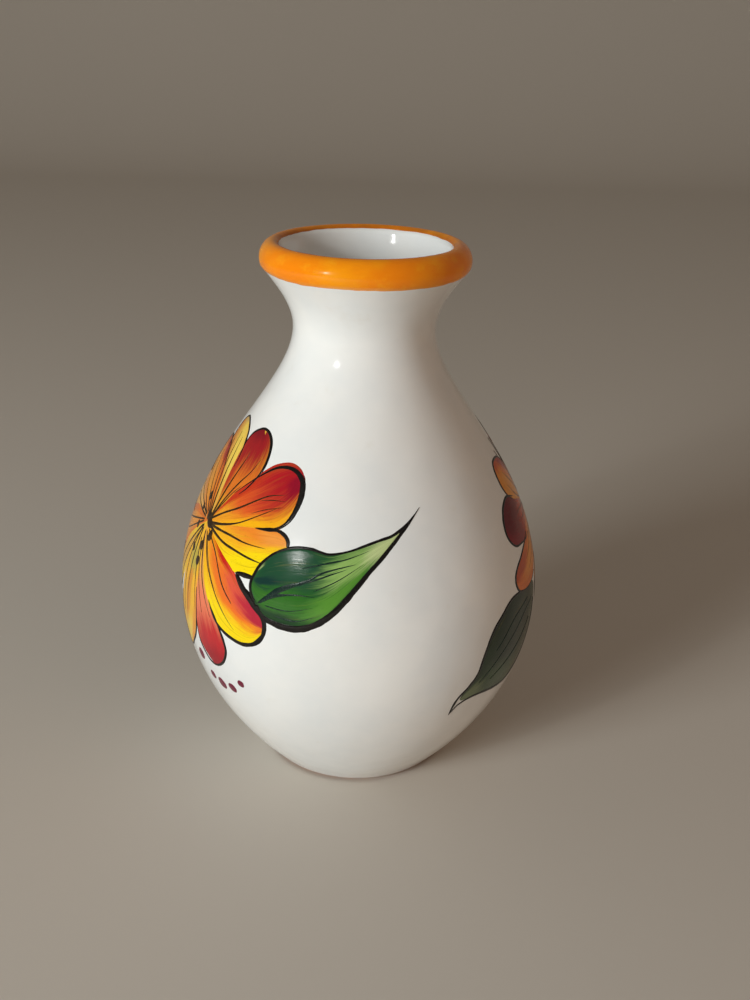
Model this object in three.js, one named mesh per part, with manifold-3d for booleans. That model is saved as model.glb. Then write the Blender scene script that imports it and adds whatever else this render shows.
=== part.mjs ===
// A hand-painted talavera vase: a thrown clay pot, its coats of glaze, and the painted flowers and leaves.
// Millimetres, +Z up. The origin is the middle of the foot, on the surface that the vase stands on.
// The flowers face -Y and +X, and an azimuth is counted from -Y towards +X.

import * as THREE from 'three';
import { mergeVertices } from 'three/addons/utils/BufferGeometryUtils.js';
import Module from 'manifold-3d';

const wasm = await Module();
wasm.setup();

// The outside of the glazed pot.
const height = 180;
const footRadius = 32;
const footSpread = 42;          // degrees that the wall leans out where it leaves the foot
const footCurve = 10.8;         // how long the wall keeps that lean
const bareFoot = 1.5;           // clay left unglazed above the floor
const bellyRadius = 61;
const bellyHeight = 62.3;
const bellyRound = 30.5;        // roundness of the belly below its widest line
const shoulderRound = 44;       // and above it
const neckRadius = 22.9;
const neckHeight = 152.9;
const neckBend = 21.2;          // length of the neck's bend below its narrowest line
const flareBend = 7.4;          // and above it
const flareLean = 37.6;       // degrees that the mouth leans out under the lip
const flareEnd = 6.2;           // how long the flare keeps that lean
const throatBend = 5;           // length of the bend inside, where the lip runs into the throat

// The rolled lip is an ellipse in section, leaning inwards at its top.
const lipCentreRadius = 29.9;
const lipHalfThickness = 3.4;
const lipHalfLength = 4.55;
const lipLean = 17;             // degrees
const rimStart = -62;           // degrees round the roll where it and its orange glaze start outside
const rimEnd = 115;             // where the orange ends, a little inside the crest
const rollEnd = 145;            // where the roll runs into the throat

// Walls and coats.
const wall = 4.5;
const floorThickness = 6;
const floorCorner = 7;          // size of the inside corner where the wall meets the floor
const footRecess = 2;           // depth of the hollow under the foot
const footRingWidth = 6;
const footChamfer = 0.9;
const glaze = 0.5;
const paint = 0.3;
const seat = 0.05;              // clearance between one coat and the next

// Painting. Lengths are measured over the glaze, and rise is counted up the wall from the foot.
const outline = 1.2;            // width of the black brush line round each petal
const paintGap = 0.3;           // bare glaze between a patch of colour and its line
const stencilReach = 6;         // how far a stencil stands in and out of the wall
const petalRoot = 1.4;          // half the width of a petal at its root
const eyeRadius = 2.6;

const flowers = [
  { name: 'left_flower', azimuth: -63.5, rise: 101.5, turn: 0 },
  { name: 'right_flower', azimuth: 99, rise: 98, turn: 0 },
];

// The petals from the topmost down. Angles are counted from the sideways direction, anticlockwise, and
// a petal's root is its distance from the flower's middle: the lower petals come out from under the others.
const petals = [
  { angle: 36, root: 4.5, length: 38, width: 17 },
  { angle: 81, root: 4.5, length: 36.5, width: 15 },
  { angle: 135, root: 4.5, length: 32, width: 13 },
  { angle: -35, root: 4.5, length: 44, width: 16 },
  { angle: -97, root: 4.5, length: 46, width: 15 },
  { angle: -161, root: 4.5, length: 43, width: 14 },
  { angle: -1, root: 9, length: 31, width: 15 },
  { angle: 107, root: 15, length: 35, width: 13 },
  { angle: -71, root: 15, length: 46, width: 15 },
  { angle: 171, root: 12, length: 38, width: 13 },
  { angle: -128, root: 12, length: 40, width: 14 },
];

// Each flower has two leaves. Across and up go from the flower's middle to the leaf's root.
const leaves = [
  { across: 27.6, up: -9.5, tilt: 28, length: 55, width: 25, over: true },
  { across: -25, up: -24, tilt: 213, length: 51, width: 24, over: false },
];

// The maroon dots curve round under the petals. Out is counted from the flower's middle, less the outline.
const dots = [
  { angle: -85, out: 45.6, size: 4.0 },
  { angle: -80, out: 52.1, size: 3.0 },
  { angle: -75, out: 54.2, size: 4.0 },
  { angle: -69, out: 55.1, size: 3.4 },
  { angle: -62, out: 53.6, size: 2.5 },
];

// Fineness of the solids.
const turnSteps = 30;
const footSteps = 4;
const shoulderSteps = 5;
const flareSteps = 3;
const throatSteps = 4;
const lipSteps = 6;
const petalSteps = 4;
const discSteps = 4;            // in half a turn

const paints = {
  clay: { color: '#b8825c', roughness: 0.9 },
  whiteGlaze: { color: '#e8ecec', roughness: 0.12 },
  rimGlaze: { color: '#ef8a14', roughness: 0.15 },
  outlines: { color: '#191616', roughness: 0.3 },
  eye: { color: '#5a4614', roughness: 0.3 },
  leaf: { color: '#3f7a34', roughness: 0.2 },
  dot: { color: '#7d193c', roughness: 0.2 },
  petal: ['#b0182c', '#e0522a', '#f0a82c', '#f5c81e', '#f6b42a', '#e79a2e', '#f4b428', '#f2b62c',
    '#e4684a', '#d98432', '#f3c62e'].map((color) => ({ color, roughness: 0.2 })),
};

const radians = THREE.MathUtils.degToRad;
const coat = seat + glaze;

// ---- the pot's own surface, as stations: a point of the clay and the direction out of it ----

function stationsOf(curve, steps, fromStep = 0) {
  const stations = [];
  for (let step = fromStep; step <= steps; step += 1) {
    const along = curve.getTangent(step / steps);
    stations.push({ point: curve.getPoint(step / steps), out: new THREE.Vector2(along.y, -along.x) });
  }
  return stations;
}

function lifted(stations, distance) {
  return stations.map(({ point, out }) => point.clone().addScaledVector(out, distance));
}

// Moves the two ends of a run of stations inwards, so that two coats end a little apart.
function trimmed(stations, distance) {
  const ends = [[0, 1], [stations.length - 1, stations.length - 2]];
  const result = stations.map(({ point, out }) => ({ point: point.clone(), out }));
  for (const [end, inner] of ends) {
    const inwards = stations[inner].point.clone().sub(stations[end].point).normalize();
    result[end].point.addScaledVector(inwards, distance);
  }
  return result;
}

function lipCurve(from, to) {
  const lean = radians(lipLean);
  const halfRise = Math.hypot(lipHalfThickness * Math.sin(lean), lipHalfLength * Math.cos(lean));
  return new THREE.EllipseCurve(
    lipCentreRadius, height - halfRise, lipHalfThickness - coat, lipHalfLength - coat,
    radians(from), radians(to), false, lean,
  );
}

// The wall outside: foot to belly, belly to neck, neck to the start of the lip.
function wallCurves() {
  const lean = radians(footSpread);
  const foot = new THREE.Vector2(footRadius - coat * Math.cos(lean), bareFoot + coat * Math.sin(lean));
  const footHandle = new THREE.Vector2(footCurve * Math.sin(lean), footCurve * Math.cos(lean)).add(foot);
  const belly = new THREE.Vector2(bellyRadius - coat, bellyHeight);
  const neck = new THREE.Vector2(neckRadius - coat, neckHeight);
  const lip = lipCurve(rimStart, rimEnd).getPoint(0);
  const mouth = radians(flareLean);
  const lipHandle = new THREE.Vector2(-flareEnd * Math.sin(mouth), -flareEnd * Math.cos(mouth)).add(lip);
  return [
    new THREE.CubicBezierCurve(foot, footHandle, new THREE.Vector2(belly.x, belly.y - bellyRound), belly),
    new THREE.CubicBezierCurve(
      belly, new THREE.Vector2(belly.x, belly.y + shoulderRound),
      new THREE.Vector2(neck.x, neck.y - neckBend), neck,
    ),
    new THREE.CubicBezierCurve(neck, new THREE.Vector2(neck.x, neck.y + flareBend), lipHandle, lip),
  ];
}

function outsideStations() {
  const [lower, upper, flare] = wallCurves();
  const body = [...stationsOf(lower, footSteps), ...stationsOf(upper, shoulderSteps, 1)];
  return [...body, ...stationsOf(flare, flareSteps, 1)];
}

// The wall inside, from the lip down to the middle of the floor.
function insideStations() {
  const [lower, upper] = wallCurves();
  const wallRun = [...stationsOf(lower, footSteps), ...stationsOf(upper, shoulderSteps, 1)];
  const facing = wallRun.map(({ point, out }) => ({
    point: point.clone().addScaledVector(out, -wall), out: out.clone().negate(),
  }));
  const floorHeight = footRecess + floorThickness;
  const lowest = facing.findIndex(({ point }) => point.y > floorHeight + floorCorner);
  const side = facing.slice(lowest);

  const neck = side[side.length - 1].point;
  const roll = lipCurve(rimEnd, rollEnd);
  const lip = roll.getPoint(1);
  const lipHandle = lip.clone().addScaledVector(roll.getTangent(1), throatBend);
  const neckHandle = new THREE.Vector2(neck.x, neck.y + flareBend);
  const throat = new THREE.CubicBezierCurve(lip, lipHandle, neckHandle, neck);

  const first = side[0];
  const downwards = new THREE.Vector2(first.out.y, -first.out.x);
  const cornerDrop = (first.point.y - floorHeight) / Math.abs(downwards.y);
  const corner = first.point.clone().addScaledVector(downwards, cornerDrop * Math.sign(-downwards.y));
  const floorEdge = new THREE.Vector2(corner.x - floorCorner, floorHeight);
  const floorCurve = new THREE.QuadraticBezierCurve(first.point, corner, floorEdge);

  const floorMiddle = { point: new THREE.Vector2(0, floorHeight), out: new THREE.Vector2(0, 1) };
  return [
    ...stationsOf(roll, 2), ...stationsOf(throat, throatSteps, 1),
    ...side.slice(0, -1).reverse(), ...stationsOf(floorCurve, 3, 1), floorMiddle,
  ];
}

// The underside, from its middle out to the foot ring and up to the start of the glaze.
function footPoints() {
  const lean = radians(footSpread);
  const ringOutside = footRadius - coat - bareFoot * Math.sin(lean);
  const ringInside = ringOutside - footRingWidth;
  return [
    new THREE.Vector2(0, footRecess),
    new THREE.Vector2(ringInside - footRecess / 2, footRecess),
    new THREE.Vector2(ringInside, 0),
    new THREE.Vector2(ringOutside - footChamfer, 0),
    new THREE.Vector2(ringOutside, footChamfer),
  ];
}

// ---- solids ----

function merged(geometry) {
  geometry.deleteAttribute('normal');
  geometry.deleteAttribute('uv');
  const whole = mergeVertices(geometry, 1e-5);
  const corners = whole.index.array;
  const kept = [];
  for (let start = 0; start < corners.length; start += 3) {
    const [a, b, c] = corners.slice(start, start + 3);
    if (a !== b && b !== c && c !== a) kept.push(a, b, c);
  }
  whole.setIndex(kept);
  return whole;
}

// A turned solid. The profile runs up the outside and down the inside.
function turned(profile) {
  const points = [...profile, profile[0]];
  return merged(new THREE.LatheGeometry(points, turnSteps).rotateX(Math.PI / 2));
}

function coatOver(stations, thickness) {
  return turned([...lifted(stations, seat + thickness), ...lifted(stations, seat).reverse()]);
}

function solidOf(geometry) {
  const vertProperties = Float32Array.from(geometry.attributes.position.array);
  const triVerts = Uint32Array.from(geometry.index.array);
  return new wasm.Manifold(new wasm.Mesh({ numProp: 3, vertProperties, triVerts }));
}

function geometryOf(solid) {
  const { vertProperties, triVerts } = solid.getMesh();
  const geometry = new THREE.BufferGeometry();
  geometry.setAttribute('position', new THREE.BufferAttribute(Float32Array.from(vertProperties), 3));
  geometry.setIndex(Array.from(triVerts));
  return geometry;
}

// ---- painting ----

const wallPath = new THREE.CurvePath();
for (const curve of wallCurves()) wallPath.add(curve);
const wallLength = wallPath.getLength();

// A point over the wall: rise up the wall, azimuth in degrees, and lift off the clay.
function overWall(rise, azimuth, lift) {
  const share = THREE.MathUtils.clamp(rise / wallLength, 0, 1);
  const { x, y } = wallPath.getPointAt(share);
  const along = wallPath.getTangentAt(share);
  const radius = x + along.y * lift;
  const angle = radians(azimuth);
  return new THREE.Vector3(radius * Math.sin(angle), -radius * Math.cos(angle), y - along.x * lift);
}

// Where a point lies that is so far across and up from a place on the wall.
function placeFrom({ azimuth, rise }, { x, y }) {
  const radius = wallPath.getPointAt(THREE.MathUtils.clamp((rise + y) / wallLength, 0, 1)).x + coat;
  return { azimuth: azimuth + THREE.MathUtils.radToDeg(x / radius), rise: rise + y };
}

// A stencil cuts a flat outline out of a coat. The outline lies round a place on the wall.
function stencil(points, centre) {
  const flat = THREE.ShapeUtils.isClockWise(points) ? [...points].reverse() : points;
  const place = (point, lift) => {
    const { azimuth, rise } = placeFrom(centre, point);
    return overWall(rise, azimuth, lift);
  };
  const corners = [...flat.map((p) => place(p, -stencilReach)), ...flat.map((p) => place(p, stencilReach))];
  const count = flat.length;
  const faces = [];
  for (const [a, b, c] of THREE.ShapeUtils.triangulateShape(flat, [])) {
    faces.push(c, b, a, a + count, b + count, c + count);
  }
  for (let at = 0; at < count; at += 1) {
    const next = (at + 1) % count;
    faces.push(at, next, next + count, at, next + count, at + count);
  }
  const geometry = new THREE.BufferGeometry().setFromPoints(corners);
  geometry.setIndex(faces);
  return solidOf(geometry);
}

// Pushes an outline outwards by an equal distance all round.
function grown(points, distance) {
  const way = THREE.ShapeUtils.isClockWise(points) ? -1 : 1;
  return points.map((point, at) => {
    const before = points[(at + points.length - 1) % points.length];
    const after = points[(at + 1) % points.length];
    const arriving = point.clone().sub(before).normalize();
    const leaving = after.clone().sub(point).normalize();
    const along = arriving.clone().add(leaving).normalize();
    const out = new THREE.Vector2(along.y, -along.x).multiplyScalar(way);
    return point.clone().addScaledVector(out, distance / Math.max(0.5, along.dot(leaving)));
  });
}

function turnedBy(points, degrees) {
  return points.map((point) => point.clone().rotateAround(new THREE.Vector2(), radians(degrees)));
}

// A petal runs from its root along +X and is fullest past its middle.
function petalOutline({ root, length, width }) {
  const shape = new THREE.Shape();
  shape.moveTo(root, -petalRoot);
  shape.bezierCurveTo(length * 0.35, -width * 0.62, length * 0.95, -width * 0.72, length, 0);
  shape.bezierCurveTo(length * 0.95, width * 0.72, length * 0.35, width * 0.62, root, petalRoot);
  return shape.getPoints(petalSteps).slice(0, -1);
}

// A leaf is round at its root, at the origin, and pointed at its tip.
function leafOutline({ length, width }) {
  const shape = new THREE.Shape();
  shape.moveTo(0, 0);
  shape.bezierCurveTo(0, -width * 0.85, length * 0.65, -width * 0.5, length, 0);
  shape.bezierCurveTo(length * 0.65, width * 0.5, 0, width * 0.85, 0, 0);
  return shape.getPoints(petalSteps).slice(0, -1);
}

function discOutline(radius) {
  return new THREE.Shape().absarc(0, 0, radius, 0, Math.PI * 2).getPoints(discSteps).slice(0, -1);
}

// One flower's patches of colour, from the topmost down, each with its own outline and place.
function patchesOf(flower) {
  const leafPatches = leaves.map((leaf, index) => {
    const [root] = turnedBy([new THREE.Vector2(leaf.across, leaf.up)], flower.turn);
    return {
      name: `leaf_${index + 1}`,
      finish: paints.leaf,
      points: turnedBy(leafOutline(leaf), leaf.tilt + flower.turn),
      centre: placeFrom(flower, root),
      over: leaf.over,
    };
  });
  return [
    { name: 'eye', finish: paints.eye, points: discOutline(eyeRadius), centre: flower },
    ...leafPatches.filter(({ over }) => over),
    ...petals.map((petal, index) => ({
      name: `petal_${index + 1}`,
      finish: paints.petal[index],
      points: turnedBy(petalOutline(petal), petal.angle + flower.turn),
      centre: flower,
    })),
    ...leafPatches.filter(({ over }) => !over),
  ];
}

const model = new THREE.Group();

function addPiece(name, geometry, finish) {
  const material = new THREE.MeshStandardMaterial({ ...finish, metalness: 0 });
  const mesh = new THREE.Mesh(geometry, material);
  mesh.name = name;
  model.add(mesh);
}

function addPot() {
  const outside = outsideStations();
  const lip = stationsOf(lipCurve(rimStart, rimEnd), lipSteps);
  const inside = insideStations();
  const points = (stations) => lifted(stations, 0);
  const clay = [...footPoints(), ...points(outside), ...points(lip).slice(1), ...points(inside).slice(1)];
  addPiece('clay_body', turned(clay), paints.clay);
  addPiece('outer_glaze', coatOver(outside, glaze), paints.whiteGlaze);
  addPiece('rim_glaze', coatOver(trimmed(lip, seat), glaze), paints.rimGlaze);
  addPiece('inner_glaze', coatOver(inside, glaze), paints.whiteGlaze);
}

function addFlower(flower, paintCoat) {
  const cut = (patch, distance) => stencil(grown(patch.points, distance), patch.centre);
  let covered = null;
  let coveredByLines = null;
  let colours = null;
  for (const patch of patchesOf(flower)) {
    let colour = cut(patch, 0);
    let clearing = cut(patch, paintGap);
    if (covered) {
      colour = colour.subtract(covered);
      clearing = clearing.subtract(coveredByLines);
    }
    addPiece(`${flower.name}_${patch.name}`, geometryOf(paintCoat.intersect(colour)), patch.finish);
    const outlineCut = cut(patch, outline);
    covered = covered ? covered.add(outlineCut) : outlineCut;
    const lineCut = cut(patch, outline - paintGap);
    coveredByLines = coveredByLines ? coveredByLines.add(lineCut) : lineCut;
    colours = colours ? colours.add(clearing) : clearing;
  }
  const lines = paintCoat.intersect(covered).subtract(colours);
  addPiece(`${flower.name}_outlines`, geometryOf(lines), paints.outlines);
}

function addDots(flower, paintCoat) {
  dots.forEach((dot, index) => {
    const [middle] = turnedBy([new THREE.Vector2(dot.out + outline, 0)], dot.angle + flower.turn);
    const cutter = stencil(discOutline(dot.size / 2), placeFrom(flower, middle));
    addPiece(`${flower.name}_dot_${index + 1}`, geometryOf(paintCoat.intersect(cutter)), paints.dot);
  });
}

addPot();

// The paint lies on the glaze, in one thin coat that the stencils cut.
const onGlaze = outsideStations();
const paintLift = coat + seat;
const paintProfile = [...lifted(onGlaze, paintLift + paint), ...lifted(onGlaze, paintLift).reverse()];
const paintSolid = solidOf(turned(paintProfile));
for (const flower of flowers) {
  addFlower(flower, paintSolid);
  addDots(flower, paintSolid);
}

export default model;
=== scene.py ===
import math

import bmesh
import bpy
import numpy as np
from mathutils import Matrix, Vector, noise


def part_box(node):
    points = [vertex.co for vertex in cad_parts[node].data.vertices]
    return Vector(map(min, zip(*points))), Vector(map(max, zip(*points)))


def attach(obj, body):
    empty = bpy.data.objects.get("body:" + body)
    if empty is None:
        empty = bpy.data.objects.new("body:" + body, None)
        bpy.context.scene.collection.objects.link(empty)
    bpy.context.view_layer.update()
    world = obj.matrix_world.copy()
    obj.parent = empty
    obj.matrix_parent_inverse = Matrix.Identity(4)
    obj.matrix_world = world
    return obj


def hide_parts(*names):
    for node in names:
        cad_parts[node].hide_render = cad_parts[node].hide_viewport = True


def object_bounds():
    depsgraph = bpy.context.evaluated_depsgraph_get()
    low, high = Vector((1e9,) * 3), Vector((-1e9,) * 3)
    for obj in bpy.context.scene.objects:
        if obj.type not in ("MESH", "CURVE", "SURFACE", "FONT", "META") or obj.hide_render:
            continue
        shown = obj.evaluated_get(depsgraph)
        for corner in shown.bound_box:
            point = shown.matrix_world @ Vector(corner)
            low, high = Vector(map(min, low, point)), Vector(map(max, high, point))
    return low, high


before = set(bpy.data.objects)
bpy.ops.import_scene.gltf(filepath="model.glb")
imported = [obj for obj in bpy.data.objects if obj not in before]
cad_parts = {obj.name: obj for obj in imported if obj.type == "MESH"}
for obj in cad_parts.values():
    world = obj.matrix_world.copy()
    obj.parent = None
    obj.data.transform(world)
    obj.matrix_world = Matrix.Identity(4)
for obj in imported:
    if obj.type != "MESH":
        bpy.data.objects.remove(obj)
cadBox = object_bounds()
print("frame loaded")

mm = 0.001


# the pot's outside, taken from the frame's rings and a few bends

potShape = {  # lengths in mm, leans in degrees; radii and heights come from the frame
    "footSpread": 42,
    "footCurve": 10.8,
    "bellyRound": 30.5,
    "shoulderRound": 44,
    "neckBend": 21.2,
    "flareBend": 7.4,
    "flareLean": 37.6,
    "flareEnd": 6.2,
    "lipOverNeck": 7.0,  # how far the middle of the lip stands out past the neck
    "lipHalfThickness": 3.4,
    "lipHalfLength": 4.55,
    "lipLean": 17,
    "rollStart": -62,
    "rollEnd": 145,
    "outOfRound": 0.00077,  # share of the radius by which the thrown wall strays from a circle
    "footEdge": 0.5,  # rings this close over the glaze's lower edge belong to the foot
    "neckAbove": 30,  # the neck is looked for this far over the belly
}


def ringsOf(node):  # radius and height of each corner of a CAD node, in mm
    return [(math.hypot(v.co.x, v.co.y) / mm, v.co.z / mm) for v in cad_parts[node].data.vertices]


def bezier(start, startPull, endPull, end, steps=70):
    t = np.linspace(0, 1, steps)[:, None]
    corners = [np.array(p, float) for p in (start, startPull, endPull, end)]
    weights = [(1 - t) ** 3, 3 * t * (1 - t) ** 2, 3 * t * t * (1 - t), t ** 3]
    return sum(w * c for w, c in zip(weights, corners))


def lipPoint(angle):  # angle in degrees round the roll, 0 outside and 90 on top
    lean = math.radians(potShape["lipLean"])
    a = math.radians(angle)
    across = potShape["lipHalfThickness"] * math.cos(a)
    along = potShape["lipHalfLength"] * math.sin(a)
    return (
        lipRadius + across * math.cos(lean) - along * math.sin(lean),
        lipHeight + across * math.sin(lean) + along * math.cos(lean),
    )


def alongRoll(first, last, steps):  # points round the roll, from one angle to another
    return np.array([lipPoint(a) for a in np.linspace(first, last, steps)])


glazeRings = ringsOf("outer_glaze")
glazeFoot = min(z for r, z in glazeRings)
footRadius = max(r for r, z in glazeRings if z < glazeFoot + potShape["footEdge"])
bellyRadius, bellyHeight = max(glazeRings)
neckHeight = min((r, z) for r, z in glazeRings if z > bellyHeight + potShape["neckAbove"])[1]
neckRadius = max(r for r, z in glazeRings if abs(z - neckHeight) < 0.5)
potHeight = cadBox[1].z / mm
lipRadius = neckRadius + potShape["lipOverNeck"]
lipHeight = potHeight - math.hypot(
    potShape["lipHalfThickness"] * math.sin(math.radians(potShape["lipLean"])),
    potShape["lipHalfLength"] * math.cos(math.radians(potShape["lipLean"])),
)
print(f"pot {potHeight:.1f} mm tall, belly {bellyRadius:.1f} at {bellyHeight:.1f}, neck {neckRadius:.1f}")


def outsideCurve():
    spread = math.radians(potShape["footSpread"])
    flare = math.radians(potShape["flareLean"])
    footOut = potShape["footCurve"] * math.sin(spread)
    footUp = potShape["footCurve"] * math.cos(spread)
    lipStart = lipPoint(potShape["rollStart"])
    flareIn = lipStart[0] - potShape["flareEnd"] * math.sin(flare)
    flareDown = lipStart[1] - potShape["flareEnd"] * math.cos(flare)
    foot = bezier(
        (footRadius, glazeFoot),
        (footRadius + footOut, glazeFoot + footUp),
        (bellyRadius, bellyHeight - potShape["bellyRound"]),
        (bellyRadius, bellyHeight),
    )
    shoulder = bezier(
        (bellyRadius, bellyHeight),
        (bellyRadius, bellyHeight + potShape["shoulderRound"]),
        (neckRadius, neckHeight - potShape["neckBend"]),
        (neckRadius, neckHeight),
    )
    mouth = bezier(
        (neckRadius, neckHeight),
        (neckRadius, neckHeight + potShape["flareBend"]),
        (flareIn, flareDown),
        lipStart,
        steps=30,
    )
    roll = alongRoll(potShape["rollStart"], potShape["rollEnd"], 60)
    return np.concatenate([foot[:-1], shoulder[:-1], mouth[:-1], roll])


def measured(curve):  # running length and outward directions along a curve of (radius, height)
    steps = np.hypot(*np.diff(curve, axis=0).T)
    along = np.concatenate([[0], np.cumsum(steps)])
    tangent = np.gradient(curve, along, axis=0)
    tangent /= np.hypot(*tangent.T)[:, None]
    return along, np.stack([tangent[:, 1], -tangent[:, 0]], axis=1)


outside = outsideCurve()
rises, outwards = measured(outside)


def wallAt(rise, lift=0.0):  # radius and height of a point at that rise up the wall, lifted off the glaze
    r, z = (np.interp(rise, rises, outside[:, i]) for i in (0, 1))
    nr, nz = (np.interp(rise, rises, outwards[:, i]) for i in (0, 1))
    size = math.hypot(nr, nz)
    return r + lift * nr / size, z + lift * nz / size


def riseOf(height):  # the rise at which the outside reaches a height
    last = int(np.argmax(outside[:, 1]))
    return float(np.interp(height, outside[: last + 1, 1], rises[: last + 1]))


def outOfRound(azimuth, height):
    oval = math.sin(2 * azimuth + 0.9 + height * 0.004)
    threeSided = math.sin(3 * azimuth - 1.1 - height * 0.011)
    return 1 + potShape["outOfRound"] * (oval + 0.4 * threeSided)


def onWall(azimuth, rise, lift):
    r, z = wallAt(rise, lift)
    return Vector((r * math.sin(azimuth), -r * math.cos(azimuth), z)) * mm


# helpers that finish a piece

def softStep(low, high, x):
    t = min(max((x - low) / (high - low), 0.0), 1.0)
    return t * t * (3 - 2 * t)


def finishPiece(bm, name, material, nodes=(), sharpOver=None):
    for vert in bm.verts:
        swell = outOfRound(math.atan2(vert.co.x, -vert.co.y), vert.co.z / mm)
        vert.co.x *= swell
        vert.co.y *= swell
    bm.normal_update()
    for face in bm.faces:
        face.smooth = True
    if sharpOver is not None:
        for edge in bm.edges:
            edge.smooth = edge.calc_face_angle(0) < math.radians(sharpOver)
    mesh = bpy.data.meshes.new(name)
    bm.to_mesh(mesh)
    bm.free()
    mesh.materials.append(material)
    piece = bpy.data.objects.new(name, mesh)
    bpy.context.scene.collection.objects.link(piece)
    if nodes:
        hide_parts(*nodes)
    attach(piece, "root")


# materials

def linear(red, green, blue):  # a paint colour from 0 to 255, as the shader wants it
    def one(c):
        c = c / 255
        return c / 12.92 if c <= 0.04045 else ((c + 0.055) / 1.055) ** 2.4
    return (one(red), one(green), one(blue), 1.0)


class Finish:
    # a material being put together: shader sockets are set by name, and nodes join with add()

    def __init__(self, name, roughness, **sockets):
        self.material = bpy.data.materials.new(name)
        self.material.use_nodes = True
        self.tree = self.material.node_tree
        self.shader = self.tree.nodes["Principled BSDF"]
        self.shader.inputs["Roughness"].default_value = roughness
        for socket, value in sockets.items():
            self.shader.inputs[socket.replace("_", " ")].default_value = value

    def add(self, kind, inputs=None, **settings):
        node = self.tree.nodes.new(kind)
        for key, value in settings.items():
            setattr(node, key, value)
        for key, value in (inputs or {}).items():
            if isinstance(value, bpy.types.NodeSocket):
                self.tree.links.new(value, node.inputs[key])
            else:
                node.inputs[key].default_value = value
        return node

    def coordinates(self, source, scale=(1, 1, 1)):
        place = self.add("ShaderNodeTexCoord").outputs[source]
        return self.add("ShaderNodeMapping", {"Vector": place, "Scale": scale}).outputs["Vector"]

    def noise(self, vector, scale, detail=3.0, roughness=0.55, distortion=0.0):
        values = {"Vector": vector, "Scale": scale, "Detail": detail, "Roughness": roughness,
                  "Distortion": distortion}
        return self.add("ShaderNodeTexNoise", values).outputs["Fac"]

    def spread(self, value, fromMin, fromMax, toMin=0.0, toMax=1.0):
        values = {"Value": value, "From Min": fromMin, "From Max": fromMax, "To Min": toMin, "To Max": toMax}
        return self.add("ShaderNodeMapRange", values, interpolation_type="SMOOTHSTEP").outputs["Result"]

    def maths(self, operation, first, second):
        return self.add("ShaderNodeMath", {0: first, 1: second}, operation=operation).outputs[0]

    def vector(self, operation, first, second):
        values = {0: first, 1: second}
        return self.add("ShaderNodeVectorMath", values, operation=operation).outputs["Vector"]

    def length(self, vector):
        return self.add("ShaderNodeVectorMath", {0: vector}, operation="LENGTH").outputs["Value"]

    def mix(self, share, under, over, blend="MIX"):
        node = self.add("ShaderNodeMix", {"Factor": share}, data_type="RGBA", blend_type=blend)
        for socket, value in ((node.inputs[6], under), (node.inputs[7], over)):
            if isinstance(value, bpy.types.NodeSocket):
                self.tree.links.new(value, socket)
            else:
                socket.default_value = value
        return node.outputs[2]

    def bump(self, height, distance, before=None):
        values = {"Height": height, "Strength": 1.0, "Distance": distance}
        if before is not None:
            values["Normal"] = before
        return self.add("ShaderNodeBump", values).outputs["Normal"]

    def finish(self, colour=None, roughness=None, normal=None):
        for socket, value in (("Base Color", colour), ("Roughness", roughness), ("Normal", normal)):
            if value is not None:
                self.tree.links.new(value, self.shader.inputs[socket])
        return self.material


def glazeWaves(finish, depth=1.0):  # the slow waves and fine dimples of a dipped, fired glaze
    place = finish.coordinates("Object")
    slow = finish.noise(place, 38, 2.0, 0.5)
    dimples = finish.noise(place, 620, 2.0, 0.5)
    waves = finish.bump(slow, 0.00055 * depth)
    return finish.bump(dimples, 0.000012 * depth, waves)


def whiteGlaze():
    finish = Finish("whiteTinGlaze", 0.12)
    place = finish.coordinates("Object")
    cloud = finish.spread(finish.noise(place, 26, 4.0, 0.6), 0.3, 0.7)
    colour = finish.mix(cloud, linear(233, 236, 236), linear(243, 243, 240))
    thin = finish.spread(finish.noise(place, 95, 3.0, 0.6), 0.62, 0.82, 0.0, 0.35)
    colour = finish.mix(thin, colour, linear(226, 222, 212))
    dots = finish.add("ShaderNodeTexVoronoi", {"Vector": place, "Scale": 78.0}, feature="F1")
    chance = finish.add("ShaderNodeSeparateColor", {"Color": dots.outputs["Color"]}).outputs[0]
    speck = finish.spread(dots.outputs["Distance"], 0.018, 0.032, 1.0, 0.0)
    few = finish.maths("GREATER_THAN", chance, 0.9)
    colour = finish.mix(finish.maths("MULTIPLY", speck, few), colour, linear(120, 104, 88))
    rough = finish.spread(finish.noise(place, 60, 3.0, 0.6), 0.3, 0.7, 0.09, 0.16)
    pin = finish.spread(dots.outputs["Distance"], 0.02, 0.06)
    plain = finish.maths("LESS_THAN", chance, 0.62)
    pinholes = finish.bump(finish.maths("MAXIMUM", pin, plain), 0.00004, glazeWaves(finish))
    return finish.finish(colour, rough, pinholes)


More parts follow.
